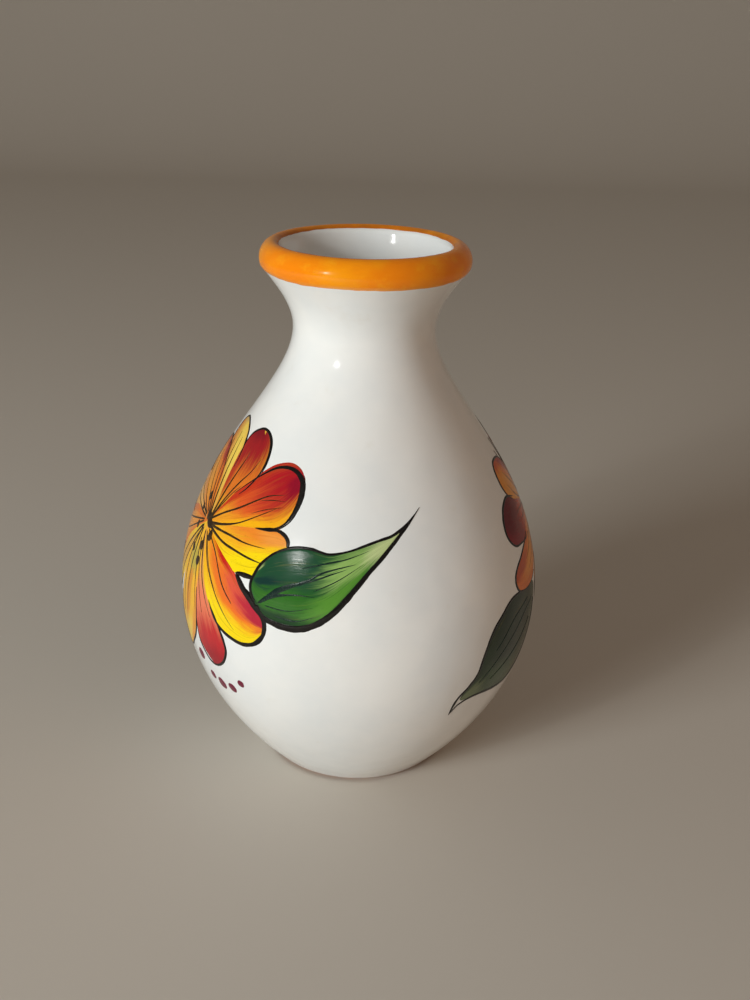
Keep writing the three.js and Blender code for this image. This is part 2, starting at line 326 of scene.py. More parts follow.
def orangeGlaze():
    finish = Finish("orangeLipGlaze", 0.14)
    place = finish.coordinates("Object")
    parts = finish.add("ShaderNodeSeparateXYZ", {"Vector": place})
    ragged = finish.maths("SUBTRACT", finish.noise(place, 170, 3.0), 0.5)
    ragged = finish.maths("MULTIPLY", ragged, 0.0022)
    height = finish.maths("ADD", parts.outputs["Z"], ragged)
    radius = finish.length(finish.vector("MULTIPLY", place, (1, 1, 0)))
    lipFoot = lipPoint(potShape["rollStart"])[1] * mm
    low = finish.spread(height, lipFoot - 0.0008, lipFoot + 0.0006, 1.0, 0.0)
    # painted shade: the lip's inner side, where the roll turns down into the throat, is darkened towards
    # brown along a ragged line
    inner = finish.spread(finish.maths("ADD", radius, ragged), 0.0268, 0.0296, 1.0, 0.0)
    pooled = finish.spread(finish.noise(place, 55, 3.0, 0.6), 0.35, 0.7)
    colour = finish.mix(pooled, linear(255, 160, 6), linear(250, 138, 2))
    patches = finish.spread(finish.noise(place, 210, 4.0, 0.7), 0.5, 0.75, 0.0, 0.6)
    colour = finish.mix(patches, colour, linear(255, 166, 20))
    colour = finish.mix(finish.maths("MULTIPLY", low, 0.5), colour, linear(250, 172, 70))
    # lay the painted shade on the lip's inner side
    colour = finish.mix(finish.maths("MULTIPLY", inner, 0.8), colour, linear(160, 80, 18))
    rough = finish.spread(finish.noise(place, 150, 3.0), 0.3, 0.7, 0.1, 0.22)
    return finish.finish(colour, rough, glazeWaves(finish, 0.8))


def bareClay():
    finish = Finish("bareFootClay", 0.88, Specular_IOR_Level=0.25)
    place = finish.coordinates("Object")
    cloud = finish.spread(finish.noise(place, 60, 5.0, 0.65), 0.3, 0.7)
    colour = finish.mix(cloud, linear(176, 122, 86), linear(199, 148, 108))
    grains = finish.add("ShaderNodeTexVoronoi", {"Vector": place, "Scale": 900.0}, feature="F1")
    grog = finish.add("ShaderNodeSeparateColor", {"Color": grains.outputs["Color"]}).outputs[1]
    colour = finish.mix(finish.spread(grog, 0.86, 0.93, 0.0, 0.5), colour, linear(120, 78, 54))
    worn = finish.spread(finish.noise(place, 240, 4.0, 0.7), 0.5, 0.7, 0.0, 0.35)
    colour = finish.mix(worn, colour, linear(214, 176, 140))
    turning = finish.add("ShaderNodeTexWave", {"Vector": place, "Scale": 260.0, "Distortion": 1.5},
                         wave_type="RINGS", rings_direction="Z").outputs["Fac"]
    rough = finish.spread(finish.noise(place, 300, 2.0), 0.3, 0.7, 0.8, 0.95)
    normal = finish.bump(turning, 0.00006)
    normal = finish.bump(finish.noise(place, 1500, 3.0, 0.7), 0.00012, normal)
    return finish.finish(colour, rough, normal)


def brushedPaint(name, ground, washes, streak=0.5, shade=(90, 50, 10), veil=0.35):
    # ground is laid first, and each wash is (colour, along, across, reach along, reach across)
    finish = Finish(name, 0.16)
    place = finish.coordinates("UV")
    cloud = finish.coordinates("UV", (2.2, 4.5, 1))
    drift = {"Vector": cloud, "Scale": 1.6, "Detail": 5.0, "Roughness": 0.62}
    wander = finish.add("ShaderNodeTexNoise", drift).outputs["Color"]
    wander = finish.vector("SUBTRACT", wander, (0.5, 0.5, 0.5))
    wander = finish.vector("MULTIPLY", wander, (0.2, 0.34, 0))
    place = finish.vector("ADD", place, wander)
    hairs = finish.noise(finish.coordinates("UV", (2.4, 34.0, 1)), 1.0, 4.0, 0.6, 0.3)
    brushed = finish.maths("MULTIPLY", finish.maths("SUBTRACT", hairs, 0.5), 0.9)
    colour = linear(*ground)
    for wash, along, across, reachAlong, reachAcross in washes:
        away = finish.vector("SUBTRACT", place, (along, across, 0))
        away = finish.length(finish.vector("MULTIPLY", away, (1 / reachAlong, 1 / reachAcross, 0)))
        cover = finish.spread(finish.maths("ADD", away, brushed), 0.45, 1.15, 1.0, 0.0)
        colour = finish.mix(cover, colour, linear(*wash))
    dark = finish.spread(hairs, 0.5, 0.78, 0.0, streak)
    colour = finish.mix(dark, colour, linear(*shade), "MULTIPLY")
    light = finish.spread(hairs, 0.25, 0.42, veil, 0.0)
    colour = finish.mix(light, colour, linear(255, 214, 120), "SCREEN" if veil < 0.2 else "SOFT_LIGHT")
    spots = finish.noise(finish.coordinates("UV", (14, 9, 1)), 2.2, 4.0, 0.7)
    colour = finish.mix(finish.spread(spots, 0.55, 0.8, 0.0, 0.3), colour, linear(*shade), "MULTIPLY")
    rough = finish.spread(hairs, 0.3, 0.7, 0.12, 0.24)
    return finish.finish(colour, rough, finish.bump(hairs, 0.00003, glazeWaves(finish)))


def brushInk(name, dark, thin, roughness):
    finish = Finish(name, roughness)
    place = finish.coordinates("Object")
    dry = finish.spread(finish.noise(place, 420, 4.0, 0.65), 0.5, 0.75, 0.0, 0.7)
    colour = finish.mix(dry, linear(*dark), linear(*thin))
    pool = finish.spread(finish.noise(place, 130, 3.0), 0.4, 0.7, 0.0, 0.5)
    colour = finish.mix(pool, colour, linear(*dark))
    rough = finish.spread(finish.noise(place, 260, 3.0), 0.3, 0.7, roughness * 0.7, roughness * 1.5)
    normal = finish.bump(finish.noise(place, 520, 3.0, 0.6), 0.00004, glazeWaves(finish))
    return finish.finish(colour, rough, normal)


# the pot: clay and its three coats

coats = {
    "turnSteps": 216,
    "glaze": 0.5,  # thickness of each coat of glaze
    "wallInside": 5.6,  # from the finished outside to the finished inside
    "bedding": 0.02,  # how deep a coat sits in the clay, so that no gap shows
    "rimProud": 0.1,  # how far the orange stands over the white
    "rimUnder": 1.1,  # how far the orange runs down the flare, below the roll
    "rimEnd": 116,
    "rimTaper": 1.3,  # length over which the orange thins out to nothing
    "whiteOver": 22,  # degrees that the white runs on beneath the orange
    "rimWave": 0.55,  # how far the hand-brushed edge of the orange strays
    "footWave": 0.35,
    "bareFoot": 1.5,
    "ringInset": 1.6,  # the foot ring's outside, in from the glaze's edge
    "ringWidth": 6.0,
    "recess": 2.0,
    "ringChamfer": 0.9,
    "floorUp": 8.6,  # the glazed floor inside, above the table
    "floorEdge": 26.9,
    "cornerUp": 16.5,
    "cornerBend": 6,  # how long the wall and the floor keep their way into the corner between them
    "throatFrom": 13,  # the wall inside follows the outside up to here, over the neck's narrowest line
    "throatIn": 3.2,  # how long the roll keeps its way into the throat
    "throatUp": 4.0,  # and the wall its own way up to meet it
    "clayFrom": 1.2,  # the clay follows the outside from this far up the wall
}


def insideCurve():  # from the end of the lip's roll down to the middle of the floor
    rollEnd = lipPoint(potShape["rollEnd"])
    before = lipPoint(potShape["rollEnd"] - 2)
    way = np.array(rollEnd) - np.array(before)
    way /= np.hypot(*way)
    inner = outside - outwards * coats["wallInside"]
    belowLip = (outside[:, 1] < neckHeight + coats["throatFrom"]) & (inner[:, 1] > coats["cornerUp"])
    wallDown = inner[belowLip][::-1]
    top = wallDown[0]
    down = (wallDown[1] - top) / np.hypot(*(wallDown[1] - top))
    rollOn, wallOn = np.array(rollEnd) + way * coats["throatIn"], top - down * coats["throatUp"]
    throat = bezier(rollEnd, rollOn, wallOn, top, steps=14)
    low = wallDown[-1]
    lean = (low - wallDown[-2]) / np.hypot(*(low - wallDown[-2]))
    floorUp, floorEnd = coats["floorUp"], coats["floorEdge"] + 1 - coats["cornerBend"]
    corner = bezier(low, low + lean * coats["cornerBend"], (coats["floorEdge"] + 1, floorUp),
                    (floorEnd, floorUp), steps=14)
    floor = np.array([(r, floorUp) for r in (18.0, 12.0, 6.0, 0.0)])
    return np.concatenate([throat[1:-1], wallDown[::3], corner, floor])


def lifted(curve, distance):
    return curve + measured(curve)[1] * distance


def turned(curve, closed):
    # spins a curve of (radius, height), in mm, round the pot's axis
    bm = bmesh.new()
    verts = [bm.verts.new((r * mm, 0, z * mm)) for r, z in curve]
    after = verts[1:] + verts[:1] if closed else verts[1:]
    edges = [bm.edges.new(pair) for pair in zip(verts, after)]
    bmesh.ops.spin(bm, geom=verts + edges, cent=(0, 0, 0), axis=(0, 0, 1), dvec=(0, 0, 0),
                   angle=2 * math.pi, steps=coats["turnSteps"], use_merge=True, use_duplicate=False)
    bmesh.ops.remove_doubles(bm, verts=bm.verts, dist=1e-7)
    bmesh.ops.recalc_face_normals(bm, faces=bm.faces)
    return bm


def waveEdge(bm, edgePoint, direction, amount, reach, phase):
    # slides a coat's edge up and down the wall by hand-brushed waves
    for vert in bm.verts:
        r = math.hypot(vert.co.x, vert.co.y)
        away = math.hypot(r / mm - edgePoint[0], vert.co.z / mm - edgePoint[1])
        near = 1 - softStep(reach * 0.35, reach, away)
        if near <= 0 or r == 0:
            continue
        azimuth = math.atan2(vert.co.x, -vert.co.y)
        ring = Vector((math.cos(azimuth), math.sin(azimuth), 0))
        wave = noise.noise(ring * 3 + Vector((0, 0, phase)))
        wave += 0.5 * noise.noise(ring * 11 + Vector((0, 0, phase + 7)))
        slide = amount * wave * near * mm
        vert.co.x *= 1 + slide * direction[0] / r
        vert.co.y *= 1 + slide * direction[0] / r
        vert.co.z += slide * direction[1]


inside = insideCurve()


def makeClay():
    foot = footRadius - coats["glaze"] * 1.2
    ringOut = footRadius - coats["ringInset"]
    ringIn = ringOut - coats["ringWidth"]
    cut = coats["ringChamfer"]
    shell = lifted(outside, -coats["glaze"])[rises > coats["clayFrom"]][::2]
    hollow = lifted(inside, -coats["glaze"])[::2]
    hollow = hollow[hollow[:, 0] > 0.5]
    under, bare = coats["recess"], coats["bareFoot"]
    bottom = [(0, under), (ringIn * 0.5, under), (ringIn - cut, under), (ringIn, under - cut * 0.4),
              (ringIn + 0.15, cut * 0.5), (ringIn + cut, 0), (ringOut - cut, 0), (ringOut - 0.2, cut * 0.6),
              (ringOut, bare * 0.7), (foot - 0.3, bare - 0.1)]
    floor = [(0, coats["floorUp"] - coats["glaze"])]
    curve = np.concatenate([bottom, shell, hollow, floor])
    bm = turned(curve, closed=False)
    finishPiece(bm, "pot_clay", bareClay(), ["clay_body"], sharpOver=38)


def coatOf(curve, outer, inner, startTaper=0.0, endTaper=0.0):
    # a closed section: the outer side of a coat, thinning towards its ends, and its bedded inner side
    along, out = measured(curve)
    whole = along[-1]
    height = np.full(len(curve), float(outer))
    for taper, gone in ((startTaper, along), (endTaper, whole - along)):
        if taper:
            share = np.clip(gone / taper, 0, 1)
            height -= (outer + 0.06) * (1 - np.sqrt(1 - (1 - share) ** 2))
    face = curve + out * height[:, None]
    back = curve[::3] + out[::3] * inner
    return np.concatenate([face, back[::-1]])


def makeOuterGlaze():
    start = potShape["rollStart"]
    wall = outside[: int(np.argmax(outside[:, 1] > lipPoint(start)[1] - 0.01))]
    under = alongRoll(start + 3, start + coats["whiteOver"], 5)
    curve = np.concatenate([wall, under])
    section = coatOf(curve, 0, -coats["glaze"] - coats["bedding"], endTaper=1.5)
    edge = [(footRadius - 0.28, glazeFoot - 0.16), (footRadius - 0.1, glazeFoot - 0.08)]
    bm = turned(np.concatenate([edge, section]), closed=True)
    upWall = (-outwards[0][1], outwards[0][0])
    waveEdge(bm, (footRadius - 0.2, glazeFoot), upWall, coats["footWave"], 4.0, 3.1)
    finishPiece(bm, "white_glaze_outside", whiteGlazed, ["outer_glaze"])


def makeRim():
    rollRise = riseOf(lipPoint(potShape["rollStart"])[1])
    flare = np.array([wallAt(rollRise - down) for down in np.linspace(coats["rimUnder"], 0.1, 5)])
    curve = np.concatenate([flare, alongRoll(potShape["rollStart"] + 1, coats["rimEnd"], 64)])
    section = coatOf(curve, coats["rimProud"], -coats["glaze"], coats["rimTaper"], coats["rimTaper"])
    bm = turned(section, closed=True)
    lean = math.radians(potShape["flareLean"])
    waveEdge(bm, curve[0], (math.sin(lean), math.cos(lean)), coats["rimWave"], 3.2, 0.4)
    waveEdge(bm, lipPoint(coats["rimEnd"]), (0.5, 0.85), coats["rimWave"] * 0.6, 2.0, 5.4)
    finishPiece(bm, "orange_rim_glaze", orangeGlaze(), ["rim_glaze"])


def makeInnerGlaze():
    curve = np.concatenate([alongRoll(coats["rimEnd"] - 14, potShape["rollEnd"], 12), inside])
    along, out = measured(curve)
    height = -0.25 * np.clip(1 - along / 1.6, 0, 1)
    face = curve + out * height[:, None]
    back = (curve - out * (coats["glaze"] + coats["bedding"]))[::2]
    back = np.concatenate([back[back[:, 0] > 1.0], [(0, coats["floorUp"] - coats["glaze"])]])
    face[-1][0] = 0
    bm = turned(np.concatenate([back[::-1], face]), closed=False)
    finishPiece(bm, "white_glaze_inside", whiteGlazed, ["inner_glaze"])


whiteGlazed = whiteGlaze()
makeClay()
makeOuterGlaze()
makeRim()
makeInnerGlaze()
print("pot and its coats turned")


# the painting: patches, lines and dots laid on the wall

def middleOf(node):  # azimuth and rise of a CAD node's middle
    low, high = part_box(node)
    centre = (low + high) / 2
    return math.atan2(centre.x, -centre.y), riseOf(centre.z / mm)


def spot(flower, x, y):  # azimuth and rise of a point x mm across and y mm up from a flower's middle
    rise = flower["rise"] + y
    return flower["azimuth"] + x / wallAt(rise)[0], rise


def through(points, steps):  # a smooth curve through a few points, and their widths if they have them
    p = np.array(points, float)
    p = np.concatenate([[2 * p[0] - p[1]], p, [2 * p[-1] - p[-2]]])
    made = []
    for i in range(1, len(p) - 2):
        t = np.linspace(0, 1, 14, endpoint=False)[:, None]
        a, b, c, d = p[i - 1: i + 3]
        made.append(0.5 * (2 * b + (c - a) * t + (2 * a - 5 * b + 4 * c - d) * t ** 2
                           + (3 * b - a - 3 * c + d) * t ** 3))
    made = np.concatenate(made + [p[-2:-1]])
    along = np.concatenate([[0], np.cumsum(np.hypot(*np.diff(made[:, :2], axis=0).T))])
    places = np.linspace(0, along[-1], steps + 1)
    return np.stack([np.interp(places, along, made[:, i]) for i in range(made.shape[1])], axis=1)


def gridOf(bm, alongSteps, acrossSteps):
    made = bmesh.ops.create_grid(bm, x_segments=alongSteps, y_segments=acrossSteps, size=1)
    return [(v, (v.co.x + 1) / 2, (v.co.y + 1) / 2) for v in made["verts"]]  # each with its place, 0 to 1


def closeFilm(bm, thickness):
    # one skin becomes a closed film: its doubles go, it faces out, and a second skin lies beneath it
    bmesh.ops.remove_doubles(bm, verts=bm.verts, dist=1e-6)
    bmesh.ops.dissolve_degenerate(bm, edges=bm.edges, dist=1e-6)
    bm.normal_update()
    turnedIn = [f for f in bm.faces if f.normal.dot(f.calc_center_median() * Vector((1, 1, 0))) < 0]
    bmesh.ops.reverse_faces(bm, faces=turnedIn)
    made = bmesh.ops.extrude_face_region(bm, geom=bm.faces[:], use_keep_orig=True)["geom"]
    for vert in (g for g in made if isinstance(g, bmesh.types.BMVert)):
        outward = (vert.co * Vector((1, 1, 0))).normalized()
        vert.co -= outward * thickness * mm
    bmesh.ops.recalc_face_normals(bm, faces=bm.faces)


film = {
    "edge": 0.35,  # width over which a patch of colour sinks into the glaze
    "grow": 0.35,  # how far a patch runs out under its brush line
    "growOver": 12,  # the length from the root over which it comes to do so
    "lineSwell": 1.14,  # the brush lines' widths at their feet, over what shows
    "sunk": -0.05,
    "thickness": 0.14,
    "petalSteps": 54,
    "petalAcross": 20,
    "strokeStep": 0.55,
}


def patch(bm, flower, root, oneSide, tip, otherSide, lift):
    # a petal or leaf: its two sides run from the root to the tip, and u, v count along and across it
    outline = through([root, *oneSide, tip, *reversed(otherSide), root], 400)
    way = np.gradient(outline, axis=0)
    way /= np.hypot(*way.T)[:, None]
    area = np.sum(outline[:-1, 0] * outline[1:, 1] - outline[1:, 0] * outline[:-1, 1])
    spare = np.clip(np.hypot(*(outline - np.array(root)).T) / film["growOver"], 0, 1) * film["grow"]
    outline = outline + np.stack([way[:, 1], -way[:, 0]], axis=1) * (np.sign(area) * spare)[:, None]
    away = np.hypot(*(outline - np.array(tip)).T)
    top = int(np.argmin(away[60:-60])) + 60
    sides = []
    for side in (outline[: top + 1], outline[top:][::-1]):
        along = np.concatenate([[0], np.cumsum(np.hypot(*np.diff(side, axis=0).T))])
        sides.append((side, along / along[-1]))
    uvLayer = bm.loops.layers.uv.get("paint") or bm.loops.layers.uv.new("paint")
    placed = {}
    for vert, u, v in gridOf(bm, film["petalSteps"], film["petalAcross"]):
        along = math.sin(u * math.pi / 2)
        across = 0.5 - 0.5 * math.cos(v * math.pi)
        ends = [[np.interp(along, share, side[:, i]) for i in (0, 1)] for side, share in sides]
        one, other = (np.array(e) for e in ends)
        x, y = one * (1 - across) + other * across
        width = math.hypot(*(other - one))
        fromEdge = min(across, 1 - across) * width
        rise = film["sunk"] + (lift - film["sunk"]) * softStep(0, film["edge"], fromEdge) ** 0.6
        vert.co = onWall(*spot(flower, x, y), rise)
        placed[vert] = (along, across)
    for face in {f for vert in placed for f in vert.link_faces}:
        for loop in face.loops:
            loop[uvLayer].uv = placed[loop.vert]


def stroke(bm, flower, points, top, seed):
    # a brush line through (x, y, width) points, rounded over its width and a little uneven
    rough = through(points, 12)
    length = float(np.sum(np.hypot(*np.diff(rough[:, :2], axis=0).T)))
    steps = max(8, int(length / film["strokeStep"]))
    path = through(points, steps)
    way = np.gradient(path[:, :2], axis=0)
    way /= np.hypot(*way.T)[:, None]
    for vert, u, v in gridOf(bm, steps, 8):
        i = min(int(round(u * steps)), steps)
        x, y, width = path[i]
        tired = 1 + 0.16 * noise.noise(Vector((x * 0.35, y * 0.35, seed * 3.7)))
        tired += 0.07 * noise.noise(Vector((x * 1.4, y * 1.4, seed + 20.0)))
        ends = math.sqrt(max(0.0, min(1.0, 2.2 * min(u, 1 - u) * length / max(width, 0.3) + 0.02)))
        across = -0.5 * math.cos(v * math.pi) * width * tired * ends * film["lineSwell"]
        bulge = 1 - abs(math.cos(v * math.pi)) ** 3
        lift = film["sunk"] + (top - film["sunk"]) * bulge
        offset = (x - way[i][1] * across, y + way[i][0] * across)
        vert.co = onWall(*spot(flower, *offset), lift)


def blob(bm, flower, x, y, size, top, stretch, turn, seed):
    # a touch of the brush's point, low and round
    made = bmesh.ops.create_uvsphere(bm, u_segments=28, v_segments=14, radius=1)
    for vert in made["verts"]:
        px, py, pz = vert.co
        angle = math.atan2(py, px)
        uneven = 1 + 0.09 * noise.noise(Vector((math.cos(angle) * 1.3, math.sin(angle) * 1.3, seed)))
        ax, ay = px * size / 2 * stretch * uneven, py * size / 2 * uneven
        ax, ay = ax * math.cos(turn) - ay * math.sin(turn), ax * math.sin(turn) + ay * math.cos(turn)
        lift = pz * top if pz > 0 else pz * film["thickness"]
        vert.co = onWall(*spot(flower, x + ax, y + ay), lift)


petals = {  # in mm from the flower's middle; a wash is (colour, along, across, reach along, reach across)
    1: {
        "oneSide": [(7, 11), (10.3, 15.8), (13.2, 19.9), (15.6, 23.4), (18.3, 26.1), (22.4, 27.6),
                    (26.4, 26.5)],
        "tip": (29.4, 23.8),
        "otherSide": [(13, 3.3), (22, 5.4), (28.9, 6.7), (32.5, 10), (32.9, 15.2), (31.6, 19.8)],
        "ground": (244, 160, 34),
        "washes": [
            ((226, 92, 36), 0.54, 0.4, 0.3, 0.6),
            ((200, 54, 24), 0.42, 0.0, 0.5, 0.3),
            ((172, 22, 34), 0.97, 0.42, 0.52, 0.64),
            ((146, 8, 38), 0.86, 0.56, 0.16, 0.26),
            ((248, 178, 34), 0.74, 1.06, 0.26, 0.14),
            ((250, 180, 16), 0.38, 1.0, 0.34, 0.3),
        ],
        "slot": "petal_red",
        "lift": 0.1,
    },
    2: {
        "oneSide": [(0.4, 9), (-0.7, 17.7), (-1.3, 24.5), (-0.6, 30.5)],
        "tip": (4.8, 34.6),
        "otherSide": [(7.5, 8), (12.2, 15), (13.9, 21.6), (12.9, 28.2), (9.8, 32.6)],
        "ground": (240, 166, 40),
        "washes": [
            ((226, 120, 34), 0.48, 0.5, 0.26, 0.8),
            ((186, 60, 30), 0.56, 0.02, 0.4, 0.3),
            ((160, 26, 32), 0.86, 0.46, 0.36, 0.8),
            ((130, 14, 28), 0.97, 0.3, 0.2, 0.7),
            ((250, 196, 60), 0.955, 0.7, 0.045, 0.14),
        ],
        "slot": "petal_orange",
        "lift": 0.09,
    },
    3: {
        "oneSide": [(-3.2, 10.5), (-6.8, 17.3), (-11.4, 21.4), (-15.5, 23.2)],
        "tip": (-20.5, 23.1),
        "otherSide": [(-8.5, 3.4), (-15.5, 6.6), (-22, 9.6), (-24.8, 13), (-24.5, 18.4)],
        "ground": (232, 128, 36),
        "washes": [
            ((240, 160, 50), 0.55, 0.75, 0.4, 0.4),
            ((168, 34, 30), 0.84, 0.0, 0.5, 0.3),
            ((206, 88, 34), 0.95, 0.4, 0.16, 0.5),
        ],
        "slot": "petal_orange",
        "lift": 0.085,
    },
    4: {
        "oneSide": [(12, -5.5), (20, -9.2), (26.2, -13.5), (32.2, -17.8), (36.1, -21.8)],
        "tip": (36.8, -25),
        "otherSide": [(4.6, -11), (8.3, -18.5), (12.4, -23.8), (16.8, -28.4), (23.8, -31.1),
                      (31.4, -31)],
        "ground": (250, 176, 20),
        "washes": [
            ((240, 116, 30), 0.55, 0.34, 0.5, 0.32),
            ((253, 220, 4), 0.7, 0.94, 0.5, 0.36),
            ((196, 24, 10), 0.42, 0.0, 0.4, 0.16),
            ((222, 84, 60), 0.7, 0.14, 0.3, 0.3),
            ((184, 30, 56), 0.86, 0.1, 0.24, 0.3),
            ((238, 130, 40), 0.95, 0.5, 0.1, 0.16),
        ],
        "slot": "petal_yellow",
        "lift": 0.1,
    },
    5: {
        "oneSide": [(3, -12), (3.4, -24), (4.0, -31), (2.6, -38.4), (-1.5, -43.8)],
        "tip": (-7, -47.5),
        "otherSide": [(-6.5, -13), (-11.5, -28), (-13.5, -40)],
        "ground": (250, 188, 44),
        "washes": [
            ((226, 150, 44), 0.55, 0.5, 0.4, 0.16),
            ((196, 176, 70), 0.28, 0.5, 0.12, 0.4),
            ((253, 214, 84), 0.85, 0.35, 0.2, 0.4),
            ((240, 160, 60), 0.75, 0.05, 0.4, 0.14),
        ],
        "slot": "petal_yellow",
        "lift": 0.085,
    },
    6: {
        "oneSide": [(-14, -0.3), (-24, -4.2), (-33.3, -7.3), (-38.9, -10)],
        "tip": (-41.6, -14),
        "otherSide": [(-12, -9), (-20, -16.5), (-28, -19.2), (-34.4, -19.1), (-39.5, -17.8)],
        "ground": (224, 118, 40),
        "washes": [
            ((238, 156, 60), 0.45, 0.55, 0.4, 0.4),
            ((188, 78, 34), 0.92, 0.2, 0.3, 0.4),
        ],
        "slot": "petal_orange",
        "lift": 0.095,
    },
    7: {
        "oneSide": [(13, 5), (22.5, 8), (30.5, 7.4)],
        "tip": (36, 3),
        "otherSide": [(12, -7.4), (20.5, -9.6), (28.5, -9), (34.5, -3.5)],
        "ground": (250, 182, 30),
        "washes": [
            ((240, 136, 40), 0.74, 0.1, 0.55, 0.4),
            ((244, 156, 66), 0.88, 0.3, 0.24, 0.24),
            ((253, 222, 10), 0.66, 0.88, 0.5, 0.36),
        ],
        "slot": "petal_yellow",
        "lift": 0.065,
    },
    8: {
        "oneSide": [(1.2, 13.5), (0, 21.5), (-1.6, 27), (-5, 31.8)],
        "tip": (-10.6, 33.7),
        "otherSide": [(-9, 14.5), (-14.2, 21.5), (-16.2, 26.5), (-14.6, 31.3)],
        "ground": (238, 178, 74),
        "washes": [
            ((250, 214, 92), 0.66, 0.3, 0.4, 0.3),
            ((222, 142, 60), 0.6, 0.95, 0.5, 0.3),
            ((206, 176, 110), 0.98, 0.5, 0.12, 0.6),
        ],
        "slot": "petal_yellow",
        "lift": 0.06,
    },
    9: {
        "oneSide": [(8.5, -14.5), (13, -23.5), (18.2, -30.3), (21.1, -37.4), (19.1, -42.4)],
        "tip": (14, -45.5),
        "otherSide": [(0.5, -15), (1.8, -24), (4.2, -32.5), (6.0, -39.8)],
        "ground": (240, 170, 80),
        "washes": [
            ((238, 128, 92), 0.6, 0.5, 0.26, 0.9),
            ((194, 36, 44), 0.82, 0.45, 0.26, 0.9),
            ((160, 12, 34), 0.98, 0.45, 0.24, 0.9),
            ((148, 14, 36), 1.0, 0.2, 0.1, 0.4),
        ],
        "slot": "petal_red",
        "lift": 0.065,
    },
    10: {
        "oneSide": [(-11, 6.5), (-17, 9), (-23.5, 11.2), (-29.5, 11.2)],
        "tip": (-36.5, 5.6),
        "otherSide": [(-12, -2.5), (-19, -5), (-27, -4.6), (-34, -3.5), (-37.5, 0.6)],
        "ground": (134, 18, 34),
        "washes": [
            ((196, 72, 34), 0.3, 0.5, 0.3, 0.7),
            ((104, 12, 30), 0.86, 0.3, 0.34, 0.6),
        ],
        "slot": "petal_orange",
        "lift": 0.06,
    },
    11: {
        "oneSide": [(-12.5, -9), (-21.5, -17), (-28, -26)],
        "tip": (-26.5, -32.5),
        "otherSide": [(-6, -13), (-11.5, -23.5), (-18.5, -31)],
        "ground": (248, 200, 44),
        "washes": [
            ((240, 160, 56), 0.7, 0.1, 0.4, 0.3),
            ((228, 170, 60), 0.4, 0.6, 0.3, 0.3),
        ],
        "slot": "petal_yellow",
        "lift": 0.06,
    },
}

leaves = {  # the root is the leaf's fine point here, and the tip its blunt end beside the flower
    1: {
        "root": (68.4, 10.2),
        "oneSide": [(65.6, 7.6), (62.9, 6.5), (58.6, 4.6), (53.1, 2.4), (49.7, 1.8), (43.7, 2.8),
                    (38.5, 2.4), (33.2, -1)],
        "tip": (29.5, -9.5),
        "otherSide": [(67.2, 6.6), (65, 1), (61.8, -6.3), (56.8, -15.4), (52.6, -19), (48, -20.8),
                      (42, -20.8), (36, -19.4), (31.8, -15.6)],
        "lift": 0.12,
    },
    2: {
        "root": (-66, -48.4),
        "oneSide": [(-65.6, -45.8), (-63.5, -42.8), (-61.7, -39.5), (-60.9, -35), (-59.2, -30),
                    (-56.6, -25.8), (-51.9, -21.9), (-46.4, -18.9), (-36, -17.8)],
        "tip": (-25, -22),
        "otherSide": [(-63.5, -49), (-58, -48.5), (-52, -49.3), (-45, -50.4), (-38, -50.4),
                      (-31.5, -45), (-27, -34)],
        "lift": 0.045,
    },
}

